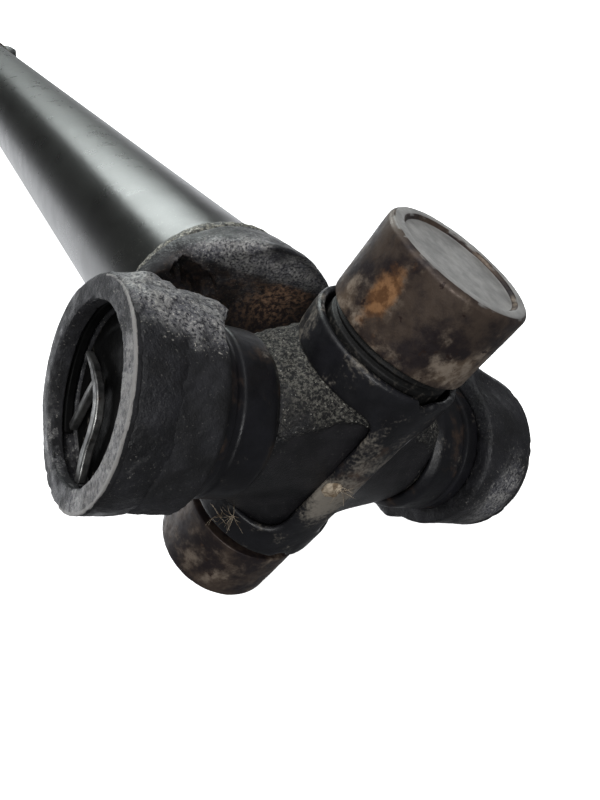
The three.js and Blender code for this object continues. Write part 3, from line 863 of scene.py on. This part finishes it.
def yoke_marks(points, normals):
    """Rust in the crotch, painted brighter than rust as light that the shaded crotch lacks, under a ridge of
    dust that is also a painted highlight; the crotch's dust is painted paler toward the top as light. The
    bores are dark, and low ear sides are dusty.
    """
    x, y, z = points.T
    crotch = ramp(-x, 30, 33) * ramp(-np.hypot(y, z), -25.5, -24)
    # ridge: dust along the crotch's soft ridge, and a painted highlight there
    ridge = near(points, (-35.5, -2, 18), (6, 30, 2.8)) + near(points, (-33, -20, 17), (9, 9, 6))
    strip = ramp(z, 19, 20)
    # glow: rust in the crotch, strong enough to take the bright rust colour, painted light where the crotch
    # lies in shade
    glow = near(points, (-38, 9.5, 13.4), (6, 6, 3.2)) + 0.55 * near(points, (-40, 8, 8), (8, 9, 7))
    # dust in the crotch, paler toward the top and on the ridge: partly real dust, partly painted light
    caked_dust_and_light = crotch * ramp(z, 3, 11) * (0.25 + 0.8 * ridge + 0.35 * strip) * (1 - 0.5 * glow)
    dust = 0.14 + 0.25 * grain(points, 6, 67, 2) + caked_dust_and_light
    bore = ramp(-np.hypot(x, z), -EAR_BORE - 0.6, -EAR_BORE)
    dust += (0.3 - dust) * bore
    band = ramp(np.abs(y), EAR_FACE - 9, EAR_FACE - 2) * ramp(-z, 4, 13)
    rust = (0.15 + 0.9 * glow + 0.3 * crotch * (1 - ridge) * (1 - strip)) * (1 - bore)
    return rust, dust + 0.25 * band, 0


def near_yoke_marks(points, normals):
    rust, dust, wear = yoke_marks(points, normals)
    far_side = near(points, (16, 39, -1), (10, 8, 13))
    # rust and dust are cleared in the pit, painting it black as shade
    outside_shaded_pit = 1 - pit_place(points)
    # the grime's pale dust on the ear's top is partly painted light from above
    return rust * outside_shaded_pit, np.maximum(dust, 1.25 * grime_place(points)) * outside_shaded_pit + 0.95 * far_side, wear


def mud_field(x, y, z):
    """Crust over the top of the near ear, and a collar of it that closes the gap to the guard."""
    about_y = np.hypot(x, z)
    points = np.stack([x, y, z], -1).reshape(-1, 3)
    lumps = (0.6 * grain(points, 4.5, 31, 4) + 0.35 * grain(points, 1.5, 35)).reshape(x.shape)
    torn = grain(points, 3.2, 37, 4).reshape(x.shape)
    turn = np.degrees(np.arctan2(x, z))
    overhang = np.maximum(y + EAR_INNER, 0)
    cover = 1 - ((turn + 10) / 34) ** 2 - 0.12 * overhang - 0.6 * ramp(-y, 39, 44) + 0.3 * torn
    cover -= 5 * ramp(overhang, 0.2, 1.2) * ramp(turn, -4, 12)
    crust = np.clip(0.9 * cover, -4, 0.55) + 0.5 * lumps
    collar = 0.25 * lumps - 0.4 - 1.2 * overhang - 0.5 * torn - 2 * np.maximum(-38 - y, 0)
    outside = about_y - EAR_RADIUS - np.maximum(crust, collar)
    inside = STRAP_OUTER + 0.5 - about_y
    inner_end = y + 27.8 + 2 * torn + 1.4 * lumps
    return np.maximum(np.maximum(outside, inside), np.maximum(inner_end, -EAR_FACE + 0.9 - y)) * 0.7


def mud_marks(points, normals):
    x, y, z = points.T
    turn = np.degrees(np.arctan2(x, z))
    crumbs = ramp(y, -31, -28.5) * ramp(grain(points, 1.6, 39), -0.2, 0.3) * ramp(-turn, -12, -2)
    # paler on top and darker turning to the +x side: the crust's dust, partly painted light from above
    dust = (0.85 + 0.5 * grain(points, 3, 38)) * (1 - 0.85 * ramp(turn, 14, 48))
    return 0, dust + 0.3 * crumbs, 0.7 * crumbs


def mud_relief(points):
    return 0.1 * noise(points, 0.8, 36)


def build_mud(shaft):
    crust = isosurface(mud_field, (-19, -45, -19), (19, -26, 20.5), 0.42)
    place("mud", crust, shaft, FORGED, "tube_shaft", None, mud_relief, mud_marks)


def rim_relief(points):
    radius = np.hypot(points[:, 0], points[:, 1])
    outer = ramp(radius, EAR_RADIUS - 0.7, EAR_RADIUS - 0.2)
    inner = ramp(-radius, -EAR_BORE - 0.4, -EAR_BORE)
    chips = ramp(grain(points, 2.0, 63), 0.15, 0.6)
    skin = 0.05 * grain(points, 0.9, 64) + 0.04 * noise(points, 4, 60)
    return skin - 0.17 * chips * np.maximum(outer, inner)


def rim_marks(points, normals):
    x, y, z = points.T
    face = ramp(z, EAR_FACE - 0.5, EAR_FACE - 0.15)
    low = ramp(x, -2, 14)
    dust = face * (0.08 + 0.57 * low + 0.3 * grain(points, 2.5, 59))
    edge = ramp(np.hypot(x, y), EAR_RADIUS - 0.5, EAR_RADIUS - 0.1)
    return 0.1 * face, dust, face * (0.1 + 0.5 * edge + 0.4 * low)


def ear_rim(name, matrix, body, node):
    """Machined face of an ear, with its chipped edges."""
    root = RING_START + RING_THICKNESS + 0.35
    outer = EAR_RADIUS + 0.08
    profile = [
        (EAR_BORE, root), (EAR_RADIUS - 0.6, root), (outer, root + 0.9), (outer, EAR_FACE),
        (EAR_BORE, EAR_FACE),
    ]
    place(name, turned(profile, 0.22, 0.4, 300), matrix, FORGED, body, node, rim_relief, rim_marks)


def bead_relief(points):
    angle = np.arctan2(points[:, 1], points[:, 0])
    ripple = np.sin(angle * 52 + 2.5 * noise(points, 9, 71))
    return 0.05 * ripple + 0.16 * grain(points, 2.4, 72)


def weld_bead(name, matrix, body, node):
    rise = [(0.1, -2.1), (1.1, -1.5), (1.6, -0.5), (1.6, 0.7), (1.2, 1.8), (0.1, 2.1)]
    profile = [(TUBE_RADIUS + out, height) for out, height in rise]
    place(name, turned(profile, 0.6, 0.45, 360), matrix, WELD, body, node, bead_relief)


# ---- one universal joint, but for its yoke ----
YOKE_NODES = {"fixed": "tube_yoke", "slip": "slip_yoke"}


def universal_joint(end, yoke_body):
    shaft = shaft_frame(end)
    cross = cross_frame(end)
    cross_body = f"{end}_cross"
    for side, y in (("left", -1), ("right", 1)):
        fixed_arm = arm_frame(shaft, (0, y, 0))
        swinging_arm = arm_frame(cross, (0, y, 0))
        # the ear cups, deep in the bores, take the painted-shade steel
        bearing_cup(f"ear_cup_{end}_{side}", fixed_arm, yoke_body, f"{end}_ear_cup_{side}", SHADED_STEEL,
                    shaded_cup_marks, dish_depth=0.2)
        ear_rim(f"rim_{end}_{side}", fixed_arm, yoke_body, YOKE_NODES[end])
        turned_ring = fixed_arm if y < 0 else fixed_arm @ HALF_TURN
        snap_ring(f"ring_{end}_{side}", turned_ring, yoke_body, f"{end}_snap_ring_{side}")
        lip_seal(f"ear_seal_{end}_{side}", swinging_arm, cross_body, f"{end}_ear_seal_{side}")
        ear_guard(f"guard_{end}_{side}", swinging_arm, cross_body, f"{end}_ear_guard_{side}")
        frame["nodes"][f"{end}_ear_rollers_{side}"].data.materials[0] = BRIGHT
    for side, z in (("upper", 1), ("lower", -1)):
        arm = arm_frame(cross, (0, 0, z))
        cup_body = f"{end}_free_cup_{side}"
        marks = upper_cup_marks if z > 0 else lower_cup_marks
        bearing_cup(f"loose_cup_{end}_{side}", arm, cup_body, f"{end}_free_cup_{side}", RUSTY, marks)
        lip_seal(f"loose_seal_{end}_{side}", arm, cross_body, f"{end}_free_seal_{side}")
        frame["nodes"][f"{end}_free_rollers_{side}"].data.materials[0] = BRIGHT
    core = isosurface(cross_field, (-14, -39, -39), (14, 39, 39), 0.62)
    place(f"cross_{end}", core, cross, GRITTY, cross_body, f"{end}_cross", cross_relief, cross_marks)
    strap_turn = cross if end == "fixed" else cross @ HALF_TURN
    strap = isosurface(strap_field, (-16, -16, -24), (16, 16, 24), 0.4)
    place(f"strap_{end}", strap, strap_turn, STRAP, cross_body, f"{end}_retaining_strap", strap_relief,
          strap_marks)


# ---- lint caught on the strap ----
def tubes(paths, radius, sides=5):
    """Points and quads of thin tubes along paths, closed at both ends."""
    points, faces = [], []
    for path in paths:
        start = len(points)
        for i, centre in enumerate(path):
            along = path[min(i + 1, len(path) - 1)] - path[max(i - 1, 0)]
            side = np.cross(along, (0.3, 0.5, 0.8))
            side /= np.linalg.norm(side)
            up = np.cross(side, along / np.linalg.norm(along))
            width = radius * (1 - 0.6 * i / len(path))
            for turn in np.arange(sides) * 2 * math.pi / sides:
                points.append(centre + width * (side * math.cos(turn) + up * math.sin(turn)))
        for i in range(len(path) - 1):
            low = start + i * sides
            for k in range(sides):
                after = (k + 1) % sides
                faces.append((low + k, low + after, low + sides + after, low + sides + k))
        faces.append(tuple(range(start, start + sides)))
        faces.append(tuple(reversed(range(len(points) - sides, len(points)))))
    return np.array(points), faces


def fibres(centre, outward, count, length, seed, links=9):
    """Curling fibres that leave a point in all directions round an outward one."""
    random = np.random.default_rng(seed)
    outward = np.array(outward) / np.linalg.norm(outward)
    paths = []
    for _ in range(count):
        direction = outward * random.uniform(0.15, 0.8) + random.normal(0, 0.6, 3)
        direction /= np.linalg.norm(direction)
        curl = random.normal(0, 0.16, 3)
        path = [np.array(centre, float)]
        for _ in range(links):
            direction = direction + curl
            direction /= np.linalg.norm(direction)
            path.append(path[-1] + direction * length * random.uniform(0.5, 1.1) / links)
        paths.append(path)
    return paths


def build_lint():
    cross = cross_frame("fixed")
    strands = fibres((14.75, -2.4, 0.6), (0.95, -0.3, 0.1), 16, 4.2, 5)
    strands += fibres((9.2, -12.1, -16.9), (0.65, -0.75, 0), 18, 4.5, 8)
    strands += fibres((7.8, -12.9, -19.6), (0.5, -0.8, 0), 8, 5, 13)
    place("lint_fibres", tubes(strands, 0.055), cross, LINT, "fixed_cross", None, smooth_deg=80)
    tuft = [(0, -0.2), (1.9, -0.2), (1.6, 0.25), (1.1, 0.5), (0, 0.65)]
    seat = arm_frame(cross @ Matrix.Translation((14.45, -2.9, -0.4)), (0.97, -0.22, 0))
    place("lint_tuft", turned(tuft, 0.3, 0.3, 48), seat, LINT, "fixed_cross", None, tuft_relief)


def tuft_relief(points):
    return 0.35 * grain(points, 1.1, 58)


# ---- shaft ----
def tube_relief(points):
    """Slight waves where the weld has drawn the tube."""
    near_weld = np.exp((points[:, 2] + TUBE_START) / 16)
    return near_weld * 0.18 * noise(points, 11, 81)


def tube_marks(points, normals):
    near_weld = np.exp((points[:, 2] + TUBE_START) / 14)
    return 0.2 * grain(points, 30, 82, 2), 0.1 + 0.9 * near_weld, 0


def build_tube(shaft):
    inner = TUBE_RADIUS - TUBE_WALL
    profile = [(inner, -TUBE_END), (TUBE_RADIUS, -TUBE_END), (TUBE_RADIUS, -TUBE_START), (inner, -TUBE_START)]
    place("tube", turned(profile, 0.4, 2.5, 144), shaft @ ALONG_X, BLACK_PAINT, "tube_shaft", "shaft_tube",
          tube_relief, tube_marks)


def spline_shape(angle, radius):
    """Spline teeth on the stub's core."""
    pitch = 2 * math.pi / SPLINE_TEETH
    off = np.abs((angle / pitch + 0.5) % 1 - 0.5) * 360 / SPLINE_TEETH
    tooth = SPLINE_ROOT + (SPLINE_TIP - SPLINE_ROOT) * (1 - ramp(off, 2.2, 3.6))
    on_core = (radius > SPLINE_ROOT - 0.1) & (radius < SPLINE_ROOT + 0.6)
    return np.where(on_core, tooth, radius)


def build_stub(shaft):
    shoulder = -TUBE_END - 0.3
    inner = TUBE_RADIUS - TUBE_WALL - 0.3
    outer = TUBE_RADIUS + 0.9
    profile = [
        (0, 16 - TUBE_END), (inner, 16 - TUBE_END), (inner, shoulder), (outer - 0.3, shoulder - 1.8),
        (outer, shoulder - 2), (outer, shoulder - 6), (16.4, shoulder - 14), (16.4, shoulder - 23),
        (SPLINE_ROOT, shoulder - 25), (SPLINE_ROOT, 1 - SPLINE_END), (SPLINE_ROOT - 1, -SPLINE_END),
        (0, -SPLINE_END),
    ]
    shape = turned(profile, 0.8, 3.0, 16 * SPLINE_TEETH, spline_shape)
    place("stub", shape, shaft @ ALONG_X, BRIGHT, "tube_shaft", "splined_stub")


def twelve_sided(angle, radius):
    half = math.pi / 12
    flat = CAP_RADIUS * math.cos(half) / np.cos((angle + half) % (2 * half) - half)
    return np.where(radius > CAP_RADIUS - 0.6, np.minimum(radius, flat + 0.25), radius)


def build_cap(shaft):
    back = -CAP_FACE - CAP_LENGTH
    profile = [
        (SHAFT_HOLE, -CAP_FACE), (CAP_RADIUS, -CAP_FACE), (CAP_RADIUS, back), (SLEEVE_NECK + 0.3, back),
        (SLEEVE_NECK + 0.3, -CAP_FACE - 7.5), (SLEEVE_NECK, -CAP_FACE - 7.5), (SLEEVE_NECK, -CAP_FACE - 2),
        (SHAFT_HOLE, -CAP_FACE - 2),
    ]
    shape = turned(profile, 0.8, 1.5, 144, twelve_sided)
    place("cap", shape, shaft @ ALONG_X, GUARD, "slip_yoke", "dust_cap", guard_relief, guard_marks)
    ring = [(SHAFT_HOLE - 0.4, -CAP_FACE - 7.4), (SLEEVE_NECK - 0.4, -CAP_FACE - 7.4),
            (SLEEVE_NECK - 0.4, -CAP_FACE - 2.4), (SHAFT_HOLE - 0.4, -CAP_FACE - 2.4)]
    place("felt", turned(ring, 0.6, 0.8, 96), shaft @ ALONG_X, FELT, "slip_yoke", "felt_seal")


def build_sleeve(yoke_frame):
    mouth = SLEEVE_MOUTH - JOINT_SPACING
    inner, seat = SPLINE_TIP + 0.35, HUB_RADIUS - 1.6
    profile = [
        (inner, 5 - HUB_BACK), (seat, 5 - HUB_BACK), (seat, -HUB_BACK), (SLEEVE_RADIUS, -HUB_BACK - 5),
        (SLEEVE_RADIUS, mouth + 14), (SLEEVE_NECK, mouth + 13), (SLEEVE_NECK, mouth), (inner, mouth),
    ]
    place("sleeve", turned(profile, 1.2, 1.8, 120), yoke_frame @ ALONG_X, FORGED, "slip_yoke", "slip_yoke",
          yoke_relief, sleeve_marks)
    plug = [(0, -44.6), (17.2, -44.6), (17.2, -42), (15.6, -42), (14.6, -43), (0, -43)]
    place("plug", turned(plug, 0.5, 1.2, 96), yoke_frame @ ALONG_X, BRIGHT, "slip_yoke", "sleeve_plug")


def sleeve_marks(points, normals):
    return 0.2 + 0.3 * grain(points, 14, 91, 2), 0.2 + 0.3 * grain(points, 9, 92, 2), 0


def slip_yoke_field(x, y, z):
    seat = cylinder(np.hypot(y, z), x, 17.5, -44.9, -HUB_FRONT, 0.4)
    return blend_cut(yoke_field(x, y, z), seat, 0.4)


def build_fitting():
    matrix = shaft_frame("slip") @ Matrix.Translation((FITTING_AT, 0, SLEEVE_RADIUS + 0.3))
    profile = [
        (0, 0), (3.6, 0), (3.6, 3), (2.3, 3.6), (2.3, 5.4), (3.1, 6.2), (3.1, 7.3), (1.9, 8.6), (0.8, 9),
        (0.5, 8.4), (0, 8.4),
    ]
    place("fitting", turned(profile, 0.3, 0.5, 48), matrix, BRASS, "slip_yoke", "grease_fitting")


def weight_field(x, y, z):
    wall = np.abs(np.hypot(y, z) - TUBE_RADIUS - 1.45) - 1.15
    return blend_common(blend_common(wall, np.abs(x) - 13, 1), np.maximum(np.abs(y) - 9, -z), 1)


def balance_weight(name, at, node):
    turn = Matrix.Rotation(math.radians(WEIGHT_TURN_DEG), 4, "X")
    matrix = shaft_frame("fixed") @ Matrix.Translation((at, 0, 0)) @ turn
    shape = isosurface(weight_field, (-14, -10.5, 19), (14, 10.5, 27), 0.6)
    place(name, shape, matrix, BLACK_PAINT, "tube_shaft", node, yoke_relief, sleeve_marks)


def build_shaft():
    shaft = shaft_frame("fixed")
    yoke = isosurface(tube_yoke_field, (-63, -47, -27), (20, 47, 27), 0.6)
    place("yoke_fixed", yoke, shaft, FORGED, "tube_shaft", "tube_yoke", near_yoke_relief, near_yoke_marks)
    slip = shaft_frame("slip") @ HALF_TURN
    fork = isosurface(slip_yoke_field, (-49, -47, -27), (20, 47, 27), 0.8)
    place("yoke_slip", fork, slip, FORGED, "slip_yoke", "slip_yoke", yoke_relief, yoke_marks)
    build_mud(shaft)
    build_sleeve(slip)
    build_tube(shaft)
    build_stub(shaft)
    build_cap(shaft)
    build_fitting()
    for end, at, flip in (("fixed", -TUBE_START, False), ("slip", -TUBE_END, True)):
        seam = shaft @ Matrix.Translation((at, 0, 0)) @ (HALF_TURN if flip else Matrix.Identity(4)) @ ALONG_X
        weld_bead(f"bead_{end}", seam, "tube_shaft", f"weld_bead_{end}")
    balance_weight("weight_fixed", -TUBE_START - WEIGHT_INSET, "balance_weight_fixed")
    balance_weight("weight_slip", WEIGHT_INSET - TUBE_END, "balance_weight_slip")


# ---- stage ----
def build_stage():
    size = 6.0
    mesh = bpy.data.meshes.new("floor")
    corners = [(-size, -size, 0), (size, -size, 0), (size, size, 0), (-size, size, 0)]
    mesh.from_pydata(corners, [], [(0, 1, 2, 3)])
    material = bpy.data.materials.new("paper")
    material.use_nodes = True
    paper = {"Base Color": (0.9, 0.9, 0.9, 1), "Roughness": 0.8, "Emission Color": (1, 1, 1, 1),
             "Emission Strength": 1.0}
    set_inputs(material.node_tree, material.node_tree.nodes["Principled BSDF"], paper)
    mesh.materials.append(material)
    floor = add_object("floor", mesh)
    floor.visible_diffuse = False
    floor.visible_glossy = False
    floor.visible_shadow = False


def build_world():
    """Dim room over a floor that is bright far off behind the joint. The camera itself sees white paper."""
    world = bpy.data.worlds.new("room")
    world.use_nodes = True
    tree = world.node_tree
    tree.nodes.clear()
    direction = add_node(tree, "TexCoord", {}, "Generated")
    x, _, z = add_node(tree, "SeparateXYZ", {"Vector": direction}).node.outputs
    behind = map_range(tree, x, -0.75, -0.25, FLOOR_GLOW, 0)
    bright_floor = combine(tree, "MULTIPLY", behind, map_range(tree, z, -0.12, 0.05, 1, 0))
    sky = map_range(tree, z, 0.2, 0.9, ROOM_GLOW, SKY_GLOW)
    sky = combine(tree, "MULTIPLY", sky, map_range(tree, x, -0.97, -0.5, 0.25, 1))
    glow = combine(tree, "ADD", bright_floor, sky)
    room = add_node(tree, "Background", {"Color": (0.95, 0.97, 1, 1), "Strength": glow})
    paper = add_node(tree, "Background", {"Color": (1, 1, 1, 1)})
    by_camera = add_node(tree, "LightPath", {}, "Is Camera Ray")
    surface = add_node(tree, "MixShader", {0: by_camera, 1: room, 2: paper})
    set_inputs(tree, tree.nodes.new("ShaderNodeOutputWorld"), {"Surface": surface})
    bpy.context.scene.world = world


def add_light(name, towards, distance, size, power, color):
    """Soft light, `distance` metres from the near joint in the given direction."""
    light = bpy.data.lights.new(name, "AREA")
    light.shape = "RECTANGLE"
    light.size, light.size_y = size
    light.energy = power
    light.color = color
    lamp = add_object(name, light)
    direction = Vector(towards).normalized()
    lamp.location = shaft_frame("fixed").translation + direction * distance
    lamp.rotation_mode = "QUATERNION"
    lamp.rotation_quaternion = direction.to_track_quat("Z", "Y")


def build_camera():
    base = shaft_frame("fixed")
    turn = base.to_3x3() * (1 / MM)
    right, down = turn @ Vector(CAMERA_RIGHT), turn @ Vector(CAMERA_DOWN)
    right.normalize()
    back = right.cross(-down).normalized()
    up = back.cross(right)
    camera = bpy.data.cameras.new("camera")
    camera.lens = CAMERA_LENS
    camera.clip_start = 0.005
    holder = add_object("camera", camera)
    holder.matrix_world = Matrix((right, up, back)).transposed().to_4x4()
    holder.location = base @ Vector(CAMERA_AT)
    bpy.context.scene.camera = holder


build_shaft()
universal_joint("fixed", "tube_shaft")
universal_joint("slip", "slip_yoke")
build_lint()
build_stage()
build_world()
for lamp_name, lamp_facts in LAMPS.items():
    add_light(lamp_name, *lamp_facts)
build_camera()
bpy.context.scene.view_settings.view_transform = "Standard"
